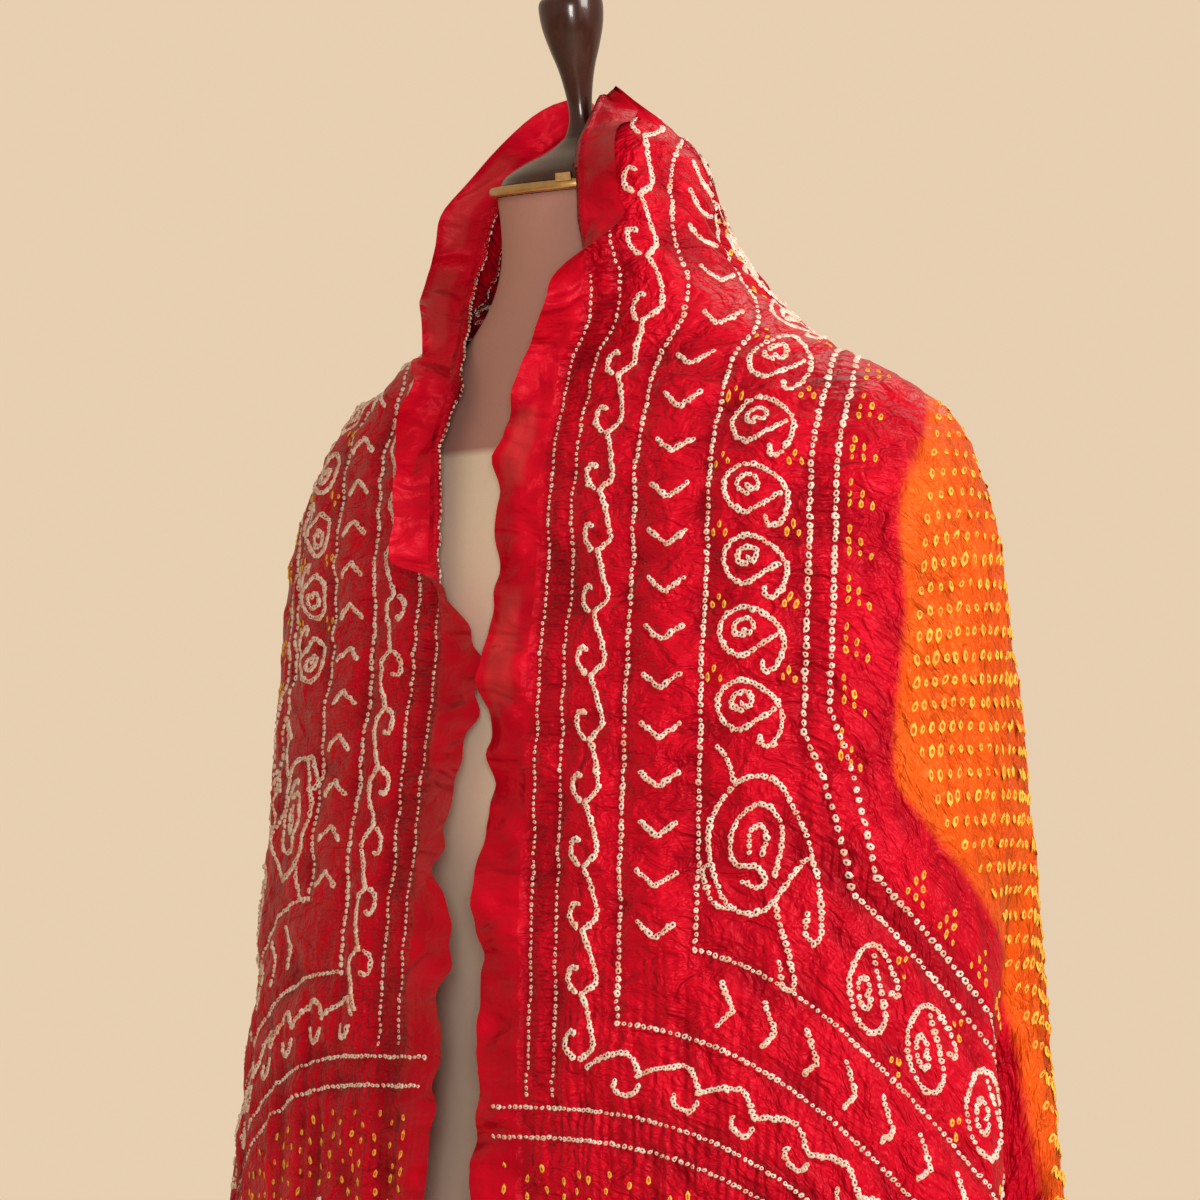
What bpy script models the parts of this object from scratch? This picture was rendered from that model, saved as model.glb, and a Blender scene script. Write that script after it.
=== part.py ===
"""Tie-dyed shawl draped over the shoulders of a plain dress form.

Z is up, metres. The origin is the middle of the foot of the stand, on the floor. The front of the
form faces -Y and the form's own left is +X. The shawl is one cloth: its front long edge runs from
one hanging end, round the neck as a collar, to the other end.
"""

import math

import bmesh
import bpy
import numpy as np
from mathutils import Matrix, Vector

# heights and places
RING_Z = 1.440          # neck ring above the floor
NECK_Y = -0.025         # neck axis in front of the pole at the ring
NECK_LEAN = math.radians(8.5)
GAP = 0.0003            # between parts that sit on each other

# stand
FOOT_R = 0.170
FOOT_H = 0.026
POLE_R = 0.014
TORSO_END_Z = 0.715

# cloth
CLOTH_T = 0.002
CLOTH_W = 0.80          # across, free front edge to far edge
LEFT_L = 1.05           # back of the neck to the end on the form's left, along the front edge
RIGHT_L = 0.989         # and on its right: the shawl is not worn quite centred
CREASE_U = 0.034        # the band in front of this line turns or stands as a collar
RUFFLE = 0.004          # how far the free edge waves out of the band

# Horizontal sections of the cloth: height from the ring, half width, depth in front of and behind
# the section's own middle, and how far that middle is behind the neck axis.
SECTIONS = (
    # dz,   half,  front, back,  middle
    (0.062, 0.010, 0.010, 0.012, 0.006),
    (0.048, 0.024, 0.022, 0.026, 0.006),
    (0.034, 0.044, 0.040, 0.046, 0.006),
    (0.020, 0.060, 0.054, 0.060, 0.006),
    (0.000, 0.070, 0.062, 0.068, 0.006),
    (-0.030, 0.079, 0.068, 0.076, 0.007),
    (-0.055, 0.093, 0.071, 0.082, 0.011),
    (-0.082, 0.122, 0.074, 0.087, 0.018),
    (-0.098, 0.150, 0.080, 0.092, 0.026),
    (-0.112, 0.178, 0.089, 0.097, 0.033),
    (-0.128, 0.204, 0.098, 0.104, 0.038),
    (-0.155, 0.223, 0.110, 0.112, 0.040),
    (-0.200, 0.237, 0.122, 0.120, 0.041),
    (-0.250, 0.241, 0.134, 0.127, 0.043),
    (-0.340, 0.248, 0.152, 0.131, 0.048),
    (-0.450, 0.257, 0.165, 0.136, 0.051),
    (-0.550, 0.270, 0.168, 0.142, 0.049),
    (-0.700, 0.285, 0.170, 0.150, 0.048),
    (-0.900, 0.300, 0.174, 0.160, 0.047),
    (-1.200, 0.315, 0.180, 0.172, 0.046),
    (-1.800, 0.330, 0.190, 0.180, 0.046),
)

# Main folds: azimuth from the front in degrees, height where each starts and where it is full,
# depth as a share of the radius, and its half width on each side in degrees.
FOLDS = (
    # az,  dz start, dz full, depth, width before, width after
    (97.0, -0.36, -0.64, 0.26, 12.0, 8.5),
    (128.0, -0.34, -0.90, 0.16, 13.0, 13.0),
    (160.0, -0.45, -0.90, 0.10, 11.0, 11.0),
    (36.0, -0.50, -1.00, 0.08, 12.0, 12.0),
)

# How steeply the cross threads run down round the body. At each height they turn down by
# SIDE_SLOPE about the first azimuth and by the rest of a right angle about the second.
SIDE_SLOPE = 48.0
TURNS = (
    # dz,   first az, half span, second az, half span
    (0.06, 62, 22, 95, 20),
    (0.02, 68, 22, 98, 20),
    (-0.02, 80, 22, 110, 20),
    (-0.05, 88, 20, 116, 20),
    (-0.08, 92, 18, 120, 20),
    (-0.11, 87, 18, 122, 20),
    (-0.17, 70, 15, 122, 22),
    (-0.30, 56, 16, 118, 22),
    (-0.45, 40, 26, 104, 18),
    (-0.60, 36, 28, 93, 14),
    (-1.80, 36, 28, 92, 14),
)

# The collar crease, from the back of the neck (0) to the end: distance along the edge, azimuth
# from the front, height from the ring, share tucked in from the sections where it bridges.
# The tuck fades out over TUCK_FADE behind the crease.
TUCK_FADE = 0.060
CREASE_LEFT = (
    # along, az,  dz,   tucked in
    (0.000, 180, -0.010, 0.04),
    (0.050, 150, -0.008, 0.05),
    (0.085, 118, 0.002, 0.06),
    (0.115, 80, 0.022, 0.02),
    (0.135, 48, 0.051, 0.0),
    (0.165, 30, 0.026, 0.0),
    (0.200, 28.5, -0.010, 0.0),
    (0.240, 29, -0.050, 0.0),
    (0.265, 22, -0.078, 0.0),
    (0.295, 11, -0.104, 0.0),
    (0.345, 8.5, -0.150, 0.0),
    (0.430, 9.8, -0.232, 0.0),
    (0.600, 11.3, -0.400, 0.0),
    (0.750, 11.6, -0.548, 0.0),
    (1.050, 12, -0.845, 0.0),
)
CREASE_RIGHT = (
    # along, az,  dz,   tucked in
    (0.000, 180, -0.010, 0.04),
    (0.045, 158, 0.026, 0.0),
    (0.070, 138, 0.043, 0.0),
    (0.095, 116, 0.032, 0.0),
    (0.115, 100, 0.012, 0.0),
    (0.135, 88, -0.008, 0.0),
    (0.165, 84, -0.038, 0.02),
    (0.187, 69, -0.057, 0.13),
    (0.208, 49, -0.0735, 0.183),
    (0.230, 31, -0.090, 0.115),
    (0.250, 19, -0.107, 0.02),
    (0.290, 14.5, -0.144, 0.0),
    (0.333, 11, -0.184, 0.0),
    (0.430, 8.0, -0.272, 0.0),
    (0.600, 9.0, -0.435, 0.0),
    (0.750, 9.5, -0.582, 0.0),
    (1.050, 10, -0.875, 0.0),
)

# How the collar band stands off the crease: shares of its width taken forward round the neck,
# outward and upward.
BAND_LEFT = (
    # along, forward, outward, upward
    (0.00, 0.00, -0.05, 0.80),
    (0.05, 0.00, -0.06, 0.72),
    (0.085, 0.10, -0.10, 0.48),
    (0.115, 0.00, 0.05, 0.22),
    (0.135, -0.32, 0.34, 0.10),
    (0.150, -0.62, 0.42, 0.08),
    (0.170, -0.80, 0.42, 0.04),
    (0.200, -0.74, 0.46, 0.00),
    (0.225, -0.40, 0.55, 0.00),
    (0.250, 0.45, 0.50, 0.00),
    (0.280, 0.64, 0.36, 0.00),
    (0.300, 0.72, 0.30, 0.00),
    (0.345, 0.94, 0.10, 0.00),
    (0.40, 1.00, 0.00, 0.00),
    (1.05, 1.00, 0.00, 0.00),
)
BAND_RIGHT = (
    # along, forward, outward, upward
    (0.00, 0.00, -0.05, 0.80),
    (0.045, 0.00, 0.00, 0.62),
    (0.070, 0.12, 0.15, 0.55),
    (0.095, 0.46, 0.28, 0.48),
    (0.115, 0.42, 0.50, 0.20),
    (0.135, 0.38, 0.70, 0.05),
    (0.165, 0.30, 0.78, 0.00),
    (0.208, 0.00, 0.76, -0.05),
    (0.230, -0.35, 0.64, -0.08),
    (0.250, -0.48, 0.58, 0.00),
    (0.330, -0.50, 0.55, 0.00),
    (0.360, -0.45, 0.65, 0.00),
    (0.385, 0.60, 0.55, 0.00),
    (0.410, 0.98, 0.12, 0.00),
    (0.440, 1.00, 0.00, 0.00),
    (1.05, 1.00, 0.00, 0.00),
)

# Dress form: sections as above, with the share of the neck's lean each one takes.
FORM = (
    # dz,     half,  front, back,  middle, lean
    (0.0000, 0.052, 0.052, 0.052, 0.000, 1.00),
    (-0.020, 0.053, 0.053, 0.054, 0.002, 0.95),
    (-0.045, 0.058, 0.056, 0.060, 0.006, 0.60),
    (-0.066, 0.072, 0.059, 0.067, 0.012, 0.25),
    (-0.088, 0.098, 0.063, 0.074, 0.019, 0.00),
    (-0.106, 0.128, 0.070, 0.080, 0.027, 0.00),
    (-0.124, 0.152, 0.080, 0.087, 0.034, 0.00),
    (-0.150, 0.165, 0.092, 0.095, 0.038, 0.00),
    (-0.200, 0.166, 0.108, 0.102, 0.040, 0.00),
    (-0.270, 0.158, 0.124, 0.104, 0.043, 0.00),
    (-0.340, 0.147, 0.128, 0.098, 0.044, 0.00),
    (-0.430, 0.128, 0.104, 0.082, 0.040, 0.00),
    (-0.500, 0.122, 0.096, 0.078, 0.036, 0.00),
    (-0.580, 0.140, 0.102, 0.092, 0.034, 0.00),
    (-0.660, 0.154, 0.104, 0.102, 0.034, 0.00),
    (-0.7247, 0.154, 0.100, 0.100, 0.034, 0.00),
)
FORM_AROUND = 40

# Profiles turned about their own axis, top to bottom, from the plane each rests on.
RING_PROFILE = (
    # r, h
    (0.0460, 0.0060),
    (0.0535, 0.0060),
    (0.0553, 0.0045),
    (0.0553, 0.0018),
    (0.0535, 0.0003),
    (0.0460, 0.0003),
)
FINIAL_PROFILE = (
    # r, h
    (0.0000, 0.1290),
    (0.0085, 0.1265),
    (0.0145, 0.1205),
    (0.0165, 0.1130),
    (0.0160, 0.1085),
    (0.0178, 0.1050),
    (0.0180, 0.0990),
    (0.0168, 0.0900),
    (0.0138, 0.0790),
    (0.0103, 0.0680),
    (0.0078, 0.0560),
    (0.0066, 0.0450),
    (0.0075, 0.0370),
    (0.0110, 0.0300),
    (0.0200, 0.0240),
    (0.0340, 0.0180),
    (0.0450, 0.0118),
    (0.0490, 0.0063),
    (0.0455, 0.0063),
    (0.0455, 0.0003),
    (0.0000, 0.0003),
)
FOOT_PROFILE = (
    # r, h
    (0.0000, FOOT_H),
    (0.0400, FOOT_H),
    (0.0440, FOOT_H - 0.005),
    (0.0900, FOOT_H - 0.009),
    (FOOT_R - 0.012, 0.0120),
    (FOOT_R - 0.003, 0.0090),
    (FOOT_R, 0.0050),
    (FOOT_R, 0.0012),
    (FOOT_R - 0.0012, 0.0),
    (0.0000, 0.0),
)


def clear_scene():
    for old in list(bpy.data.objects):
        bpy.data.objects.remove(old, do_unlink=True)


def collection(name):
    made = bpy.data.collections.new(name)
    bpy.context.scene.collection.children.link(made)
    return made


def material(name, colour, roughness, metallic=0.0):
    made = bpy.data.materials.new(name)
    made.use_nodes = True
    shader = made.node_tree.nodes["Principled BSDF"]
    shader.inputs["Base Color"].default_value = (*colour, 1.0)
    shader.inputs["Roughness"].default_value = roughness
    shader.inputs["Metallic"].default_value = metallic
    made.diffuse_color = (*colour, 1.0)
    return made


def new_object(name, verts, faces, where, mat):
    mesh = bpy.data.meshes.new(name)
    mesh.from_pydata([tuple(v) for v in verts], [], faces)
    mesh.update()
    made = bpy.data.objects.new(name, mesh)
    where.objects.link(made)
    made.data.materials.append(mat)
    for face in made.data.polygons:
        face.use_smooth = True
    return made


def turned(name, profile, steps, where, mat):
    """A solid of revolution: the profile, top to bottom, screwed about Z."""
    edges = [(i, i + 1) for i in range(len(profile) - 1)]
    if profile[0][0] > 0.0:
        edges.append((len(profile) - 1, 0))
    mesh = bpy.data.meshes.new(name)
    mesh.from_pydata([(r, 0.0, h) for r, h in profile], edges, [])
    made = bpy.data.objects.new(name, mesh)
    where.objects.link(made)
    made.data.materials.append(mat)
    screw = made.modifiers.new("turn", "SCREW")
    screw.axis = "Z"
    screw.angle = math.tau
    screw.steps = steps
    screw.render_steps = steps
    screw.use_merge_vertices = True
    screw.merge_threshold = 0.00005
    screw.use_smooth_shade = True
    return made


def table(rows, column, at):
    """A column of a table read smoothly at a value, or values, of its first column."""
    rows = sorted(rows)
    key = np.array([row[0] for row in rows], float)
    val = np.array([row[column] for row in rows], float)
    at = np.clip(np.asarray(at, float), key[0], key[-1])
    step = np.diff(val) / np.diff(key)
    slope = np.zeros(len(key))
    slope[0] = step[0]
    slope[-1] = step[-1]
    same_way = step[:-1] * step[1:] > 0.0
    limit = 3.0 * np.minimum(abs(step[:-1]), abs(step[1:]))
    middle = 0.5 * (step[:-1] + step[1:])
    slope[1:-1] = np.where(same_way, np.clip(middle, -limit, limit), 0.0)
    i = np.clip(np.searchsorted(key, at, side="right") - 1, 0, len(key) - 2)
    h = key[i + 1] - key[i]
    w = (at - key[i]) / h
    keep = (1.0 + 2.0 * w) * (1.0 - w) ** 2 * val[i] + w * w * (3.0 - 2.0 * w) * val[i + 1]
    return keep + h * (w * (1.0 - w) ** 2 * slope[i] - w * w * (1.0 - w) * slope[i + 1])


def ease(x, a, b):
    w = np.clip((x - a) / (b - a), 0.0, 1.0)
    return w * w * (3.0 - 2.0 * w)


def down_table():
    """The sections keyed by the length down the side of the drape instead of by height."""
    rows = []
    down = 0.0
    for i, row in enumerate(SECTIONS):
        if i:
            down += math.hypot(row[0] - SECTIONS[i - 1][0], row[1] - SECTIONS[i - 1][1])
        rows.append((down, *row))
    return rows


DOWN = down_table()
HEIGHT_TO_DOWN = [(row[1], row[0]) for row in DOWN]


def drape_point(az, down, tucked=0.0):
    """The draped surface: azimuth from the front in degrees, length down the side, share tucked in."""
    dz, half, front, back, middle = [table(DOWN, k, down) for k in (1, 2, 3, 4, 5)]
    a = np.radians(az)
    depth = np.where(np.cos(a) > 0.0, front, back)
    inward = np.zeros_like(a) + tucked
    for fold_az, start, full, share, before, after in FOLDS:
        width = np.where(az < fold_az, before, after)
        grown = share * ease(-dz, -start, -full)
        inward = inward + grown * np.exp(-(((az - fold_az) / width) ** 2))
    x = half * np.sin(a) * (1.0 - inward)
    y = middle - depth * np.cos(a) * (1.0 - inward)
    return np.stack([x, y + NECK_Y, dz + RING_Z], axis=-1)


def thread_slope(az, dz):
    """Angle below level of a cross thread at a place on the drape, in radians."""
    c1, w1, c2, w2 = [table(TURNS, k, dz) for k in (1, 2, 3, 4)]
    turned_down = SIDE_SLOPE * ease(az, c1 - w1, c1 + w1)
    return np.radians(turned_down + (90.0 - SIDE_SLOPE) * ease(az, c2 - w2, c2 + w2))


def thread_step(az, down, length):
    """Where a cross thread is after a short length on the drape."""
    e = 0.001
    across = (drape_point(az + 0.1, down) - drape_point(az - 0.1, down)) / 0.2
    along = (drape_point(az, down + e) - drape_point(az, down - e)) / (2.0 * e)
    n_across = np.linalg.norm(across, axis=-1)
    n_along = np.linalg.norm(along, axis=-1)
    lean = np.sum(across * along, axis=-1) / (n_across * n_along)
    slope = thread_slope(az, table(DOWN, 1, down))
    a, b = np.cos(slope), np.sin(slope)
    unit = np.sqrt(a * a + b * b + 2.0 * a * b * lean)
    return a / unit / n_across * length, b / unit / n_along * length


def half_cloth(along, across, crease, band):
    """Points of one half of the cloth on a grid of (across, along) distances."""
    az = table(crease, 1, along)
    down = table(HEIGHT_TO_DOWN, 1, table(crease, 2, along))
    low = DOWN[-1][0] - 0.02
    here = CREASE_U
    tucked = table(crease, 3, along)
    rows = [drape_point(az, down, tucked)]
    for u in across:
        if u <= CREASE_U:
            continue
        steps = max(1, int(round((u - here) / 0.010)))
        for _ in range(steps):
            d_az, d_down = thread_step(az, down, (u - here) / steps)
            m_az, m_down = thread_step(az + d_az / 2.0, down + d_down / 2.0, (u - here) / steps)
            az = np.minimum(az + m_az, 180.0)
            down = np.minimum(down + m_down, low)
        here = u
        rows.append(drape_point(az, down, tucked * ease(-u, -CREASE_U - TUCK_FADE, -CREASE_U)))
    # the band in front of the crease
    az = table(crease, 1, along)
    down = table(HEIGHT_TO_DOWN, 1, table(crease, 2, along))
    ahead = drape_point(az - 0.5, down) - drape_point(az + 0.5, down)
    ahead = ahead / np.linalg.norm(ahead, axis=-1)[:, None]
    outward = np.stack([-ahead[:, 1], ahead[:, 0], 0.0 * az], axis=-1)
    outward = outward / np.linalg.norm(outward, axis=-1)[:, None]
    outward = np.where((outward[:, :1] * np.sin(np.radians(az))[:, None]
                        - outward[:, 1:2] * np.cos(np.radians(az))[:, None]) > 0, outward, -outward)
    f, o, h = [table(band, k, along)[:, None] for k in (1, 2, 3)]
    way = f * ahead + o * outward + h * np.array([0.0, 0.0, 1.0])
    off = np.cross(way, np.gradient(rows[0], axis=0))
    off = off / np.linalg.norm(off, axis=-1)[:, None]
    front = []
    for u in across:
        if u < CREASE_U:
            w = CREASE_U - u
            ruffle = RUFFLE * np.sin(math.tau * along / 0.105) * (w / CREASE_U) ** 2
            front.append(rows[0] + way * w + off * ruffle[:, None])
    return front + rows


def cloth_object(where, mat):
    across = [0.0, 0.017, CREASE_U, 0.055, 0.080, 0.110, 0.142, 0.175, 0.210, 0.245]
    while across[-1] < CLOTH_W - 0.001:
        across.append(across[-1] + (CLOTH_W - 0.245) / 15)
    along = [0.0]
    while along[-1] < LEFT_L - 0.001:
        along.append(along[-1] + (0.020 if along[-1] < 0.399 else 0.65 / 14))
    along = np.array(along)
    left = half_cloth(along, across, CREASE_LEFT, BAND_LEFT)
    right = half_cloth(along * RIGHT_L / LEFT_L, across, CREASE_RIGHT, BAND_RIGHT)
    verts = []
    for u in range(len(across)):
        mirrored = right[u][:0:-1] * np.array([-1.0, 1.0, 1.0])
        verts.extend(Vector(p) for p in mirrored)
        middle = left[u][0].copy()
        middle[0] = 0.0
        verts.append(Vector(middle))
        verts.extend(Vector(p) for p in left[u][1:])
    n = 2 * len(along) - 1
    faces = []
    for u in range(len(across) - 1):
        for s in range(n - 1):
            a = u * n + s
            faces.append((a, a + 1, a + n + 1, a + n))
    made = new_object("cloth", verts, faces, where, mat)
    solid = made.modifiers.new("thickness", "SOLIDIFY")
    solid.thickness = CLOTH_T
    solid.offset = 0.0
    solid.use_rim = True
    return made


def lean(point, share):
    """A point given from the ring's centre, leaned forward with the neck."""
    return Matrix.Rotation(NECK_LEAN * share, 3, "X") @ Vector(point)


def form_object(where, mat):
    verts = []
    for dz, half, front, back, middle, share in FORM:
        for i in range(FORM_AROUND):
            a = math.tau * i / FORM_AROUND
            depth = front if math.cos(a) > 0.0 else back
            flat = (half * math.sin(a), middle - depth * math.cos(a), 0.0)
            centre = Vector((0.0, NECK_Y, RING_Z)) + lean((0.0, 0.0, dz), share)
            verts.append(centre + lean(flat, share))
    faces = []
    n = FORM_AROUND
    for r in range(len(FORM) - 1):
        for i in range(n):
            j = (i + 1) % n
            faces.append((r * n + i, r * n + j, (r + 1) * n + j, (r + 1) * n + i))
    faces.append(tuple(reversed(range(n))))
    last = (len(FORM) - 1) * n
    faces.append(tuple(last + i for i in range(n)))
    made = new_object("dress_form", verts, faces, where, mat)
    fix = bmesh.new()
    fix.from_mesh(made.data)
    bmesh.ops.recalc_face_normals(fix, faces=fix.faces)
    fix.to_mesh(made.data)
    fix.free()
    return made


def place_on_neck(made):
    made.location = (0.0, NECK_Y, RING_Z)
    made.rotation_euler = (NECK_LEAN, 0.0, 0.0)


def pole_object(where, mat):
    low = FOOT_H + GAP
    high = TORSO_END_Z - GAP
    profile = (
        (0.0, high),
        (POLE_R, high),
        (POLE_R, low + 0.060),
        (0.019, low + 0.052),
        (0.021, low + 0.030),
        (0.017, low + 0.014),
        (0.024, low + 0.004),
        (0.024, low),
        (0.0, low),
    )
    return turned("pole", profile, 24, where, mat)


def main():
    clear_scene()
    parts = collection("shawl_on_dress_form")
    cutters = collection("cutters")
    cutters.hide_render = True
    red = material("shawl_fabric", (0.60, 0.015, 0.045), 0.75)
    cover = material("form_cover", (0.62, 0.42, 0.33), 0.85)
    brass = material("ring_metal", (0.72, 0.50, 0.20), 0.30, 1.0)
    wood = material("dark_wood", (0.045, 0.012, 0.010), 0.25)
    cloth_object(parts, red)
    form_object(parts, cover)
    ring = turned("neck_ring", RING_PROFILE, 40, parts, brass)
    place_on_neck(ring)
    finial = turned("finial", FINIAL_PROFILE, 32, parts, wood)
    place_on_neck(finial)
    pole_object(parts, wood)
    turned("foot", FOOT_PROFILE, 48, parts, wood)


main()
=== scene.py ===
import math

import bpy
import numpy as np
from mathutils import Matrix, Vector


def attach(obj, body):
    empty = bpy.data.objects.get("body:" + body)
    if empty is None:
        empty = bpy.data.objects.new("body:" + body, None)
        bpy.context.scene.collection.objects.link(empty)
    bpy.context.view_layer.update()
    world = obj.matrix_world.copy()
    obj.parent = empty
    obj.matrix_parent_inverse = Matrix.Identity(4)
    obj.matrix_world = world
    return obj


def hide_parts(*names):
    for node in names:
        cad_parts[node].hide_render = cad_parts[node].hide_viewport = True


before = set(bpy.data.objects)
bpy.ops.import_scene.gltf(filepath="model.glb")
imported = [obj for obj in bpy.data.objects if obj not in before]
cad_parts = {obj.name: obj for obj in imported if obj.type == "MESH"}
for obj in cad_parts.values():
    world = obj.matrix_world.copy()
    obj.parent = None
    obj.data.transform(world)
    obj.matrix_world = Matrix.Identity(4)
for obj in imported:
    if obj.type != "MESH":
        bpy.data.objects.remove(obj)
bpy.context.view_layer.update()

# ------------------------------------------------------------------ sizes
RING_Z = 1.440          # neck ring above the floor
NECK_Y = -0.025
NECK_LEAN = math.radians(8.5)
CLOTH_W = 0.80          # across the cloth
LEFT_L = 1.05           # back of the neck to the end on the form's left
RIGHT_L = 0.989         # and on its right
CREASE_U = 0.034        # width of the band that turns or stands at the front edge
TUCK_FADE = 0.060       # how far behind the crease a tucked stretch reaches
OFF_CENTRE = 0.0305     # the middle of the cloth is this far along from the back of the neck
PANEL = 0.7285          # the ring of borders reaches this far either way from the cloth's middle
FIELD_IN = 0.2525       # the orange field begins this far in from the panel's outline
FIELD_PITCH = 0.015     # the field's dots, along a bias row
FIELD_SLANT = 0.74      # how far those rows lean from an even diagonal
NECKLINE = -0.1490      # where the form's cream cover begins, below the ring
KNOT_SIDES = 6
KNOTS_A_PIECE = 5600    # knots joined into each mesh; keeps each mesh under its triangle limit

EDGE_LINES = (0.034, 0.050)              # fine lines beside a free edge, distance in
EDGE_LINE_BREAK = (0.070, 0.215)         # where the collar turns over, along from the neck
BORDER_LINES = (
    # in,  corner cut, knot size, pitch
    (0.097, 0.000, 0.00165, 0.0038),
    (0.140, 0.000, 0.00165, 0.0038),
    (0.198, 0.037, 0.00200, 0.0044),
    (0.212, 0.037, 0.00200, 0.0044),
)

SECTIONS = (
    # dz,   half,  front, back,  middle
    (0.062, 0.010, 0.010, 0.012, 0.006),
    (0.048, 0.024, 0.022, 0.026, 0.006),
    (0.034, 0.044, 0.040, 0.046, 0.006),
    (0.020, 0.060, 0.054, 0.060, 0.006),
    (0.000, 0.070, 0.062, 0.068, 0.006),
    (-0.030, 0.079, 0.068, 0.076, 0.007),
    (-0.055, 0.093, 0.071, 0.082, 0.011),
    (-0.082, 0.122, 0.074, 0.087, 0.018),
    (-0.098, 0.150, 0.080, 0.092, 0.026),
    (-0.112, 0.178, 0.089, 0.097, 0.033),
    (-0.128, 0.204, 0.098, 0.104, 0.038),
    (-0.155, 0.223, 0.110, 0.112, 0.040),
    (-0.200, 0.237, 0.122, 0.120, 0.041),
    (-0.250, 0.241, 0.134, 0.127, 0.043),
    (-0.340, 0.248, 0.152, 0.131, 0.048),
    (-0.450, 0.257, 0.165, 0.136, 0.051),
    (-0.550, 0.270, 0.168, 0.142, 0.049),
    (-0.700, 0.285, 0.170, 0.150, 0.048),
    (-0.900, 0.300, 0.174, 0.160, 0.047),
    (-1.200, 0.315, 0.180, 0.172, 0.046),
    (-1.800, 0.330, 0.190, 0.180, 0.046),
)
FOLDS = (
    # az,  dz start, dz full, depth, width before, width after
    (97.0, -0.34, -0.62, 0.28, 10.0, 7.0),
    (128.0, -0.34, -0.90, 0.16, 12.0, 12.0),
    (160.0, -0.45, -0.90, 0.10, 11.0, 11.0),
    (36.0, -0.50, -1.00, 0.08, 12.0, 12.0),
)
SIDE_SLOPE = 48.0
TURNS = (
    # dz,   first az, half span, second az, half span
    (0.06, 62, 22, 95, 20),
    (0.02, 68, 22, 98, 20),
    (-0.02, 80, 22, 110, 20),
    (-0.05, 88, 20, 116, 20),
    (-0.08, 92, 18, 120, 20),
    (-0.11, 87, 18, 122, 20),
    (-0.17, 70, 15, 122, 22),
    (-0.30, 56, 16, 118, 22),
    (-0.45, 40, 26, 104, 18),
    (-0.60, 36, 28, 93, 14),
    (-1.80, 36, 28, 92, 14),
)
CREASE_LEFT = (
    # along, az,  dz,   tucked in
    (0.000, 180, -0.010, 0.04),
    (0.050, 150, -0.008, 0.05),
    (0.085, 118, 0.002, 0.06),
    (0.115, 80, 0.022, 0.02),
    (0.135, 48, 0.051, 0.0),
    (0.165, 30, 0.026, 0.0),
    (0.200, 28.5, -0.010, 0.0),
    (0.240, 29, -0.050, 0.0),
    (0.265, 22, -0.078, 0.0),
    (0.295, 11, -0.104, 0.0),
    (0.345, 8.5, -0.150, 0.0),
    (0.430, 9.8, -0.232, 0.0),
    (0.600, 11.3, -0.400, 0.0),
    (0.750, 11.6, -0.548, 0.0),
    (1.050, 12, -0.845, 0.0),
)
CREASE_RIGHT = (
    # along, az,  dz,   tucked in
    (0.000, 180, -0.010, 0.04),
    (0.045, 158, 0.026, 0.0),
    (0.070, 138, 0.043, 0.0),
    (0.095, 116, 0.032, 0.0),
    (0.115, 100, 0.012, 0.0),
    (0.135, 88, -0.008, 0.0),
    (0.165, 84, -0.038, 0.02),
    (0.187, 69, -0.057, 0.13),
    (0.208, 49, -0.0735, 0.183),
    (0.230, 31, -0.090, 0.115),
    (0.250, 19, -0.107, 0.02),
    (0.290, 14.5, -0.144, 0.0),
    (0.333, 11, -0.184, 0.0),
    (0.430, 8.0, -0.272, 0.0),
    (0.600, 9.0, -0.435, 0.0),
    (0.750, 9.5, -0.582, 0.0),
    (1.050, 10, -0.875, 0.0),
)
BAND_LEFT = (
    # along, forward, outward, upward
    (0.00, 0.00, -0.05, 0.80),
    (0.05, 0.00, -0.06, 0.72),
    (0.085, 0.10, -0.10, 0.48),
    (0.115, 0.00, 0.05, 0.22),
    (0.135, -0.32, 0.34, 0.10),
    (0.150, -0.62, 0.42, 0.08),
    (0.170, -0.80, 0.42, 0.04),
    (0.200, -0.74, 0.46, 0.00),
    (0.225, -0.40, 0.55, 0.00),
    (0.250, 0.45, 0.50, 0.00),
    (0.280, 0.64, 0.36, 0.00),
    (0.300, 0.72, 0.30, 0.00),
    (0.345, 0.94, 0.10, 0.00),
    (0.40, 1.00, 0.00, 0.00),
    (1.05, 1.00, 0.00, 0.00),
)
BAND_RIGHT = (
    # along, forward, outward, upward
    (0.00, 0.00, -0.05, 0.80),
    (0.045, 0.00, 0.00, 0.62),
    (0.070, 0.12, 0.15, 0.55),
    (0.095, 0.46, 0.28, 0.48),
    (0.115, 0.42, 0.50, 0.20),
    (0.135, 0.38, 0.70, 0.05),
    (0.165, 0.30, 0.78, 0.00),
    (0.208, 0.00, 0.76, -0.05),
    (0.230, -0.35, 0.64, -0.08),
    (0.250, -0.48, 0.58, 0.00),
    (0.330, -0.50, 0.55, 0.00),
    (0.360, -0.45, 0.65, 0.00),
    (0.385, 0.60, 0.55, 0.00),
    (0.410, 0.98, 0.12, 0.00),
    (0.440, 1.00, 0.00, 0.00),
    (1.05, 1.00, 0.00, 0.00),
)
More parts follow.
